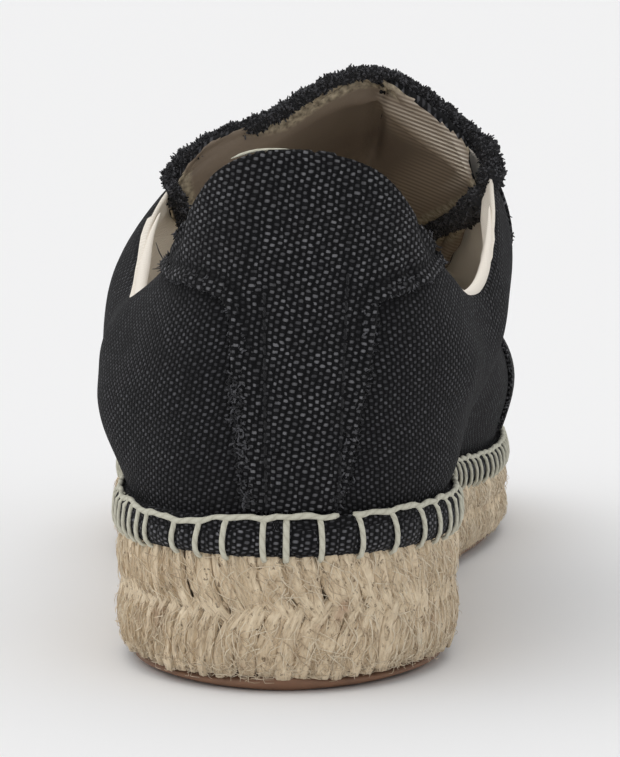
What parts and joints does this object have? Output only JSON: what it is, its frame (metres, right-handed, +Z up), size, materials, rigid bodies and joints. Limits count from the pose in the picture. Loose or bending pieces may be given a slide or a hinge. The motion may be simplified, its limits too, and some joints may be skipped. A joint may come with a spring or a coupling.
{
  "type": "sneaker",
  "caption": "Low canvas sneaker for the left foot, with raw frayed edges, a peaked tongue, and a braided jute sole sewn on with blanket stitch.",
  "frame": {"origin": "the middle of the shoe's length and width, on the floor under its sole", "axes": "+Z up, +Y towards the toe, +X towards the big toe's side (the inner side of this left shoe)"},
  "size_m": [0.099, 0.2874, 0.1162],
  "materials": {
    "outsole_rubber": "matt brown rubber",
    "jute": "braided natural jute, rough and hairy",
    "lining": "cream cotton twill",
    "canvas": "washed black canvas, coarse weave"
  },
  "bodies": {
    "root": {"outsole": "outsole_rubber", "midsole": "jute", "insole": "lining", "upper": "canvas", "heel_overlay": "canvas", "facing": "canvas", "toe_guard": "canvas", "tongue": "canvas"}
  },
  "joints": []
}
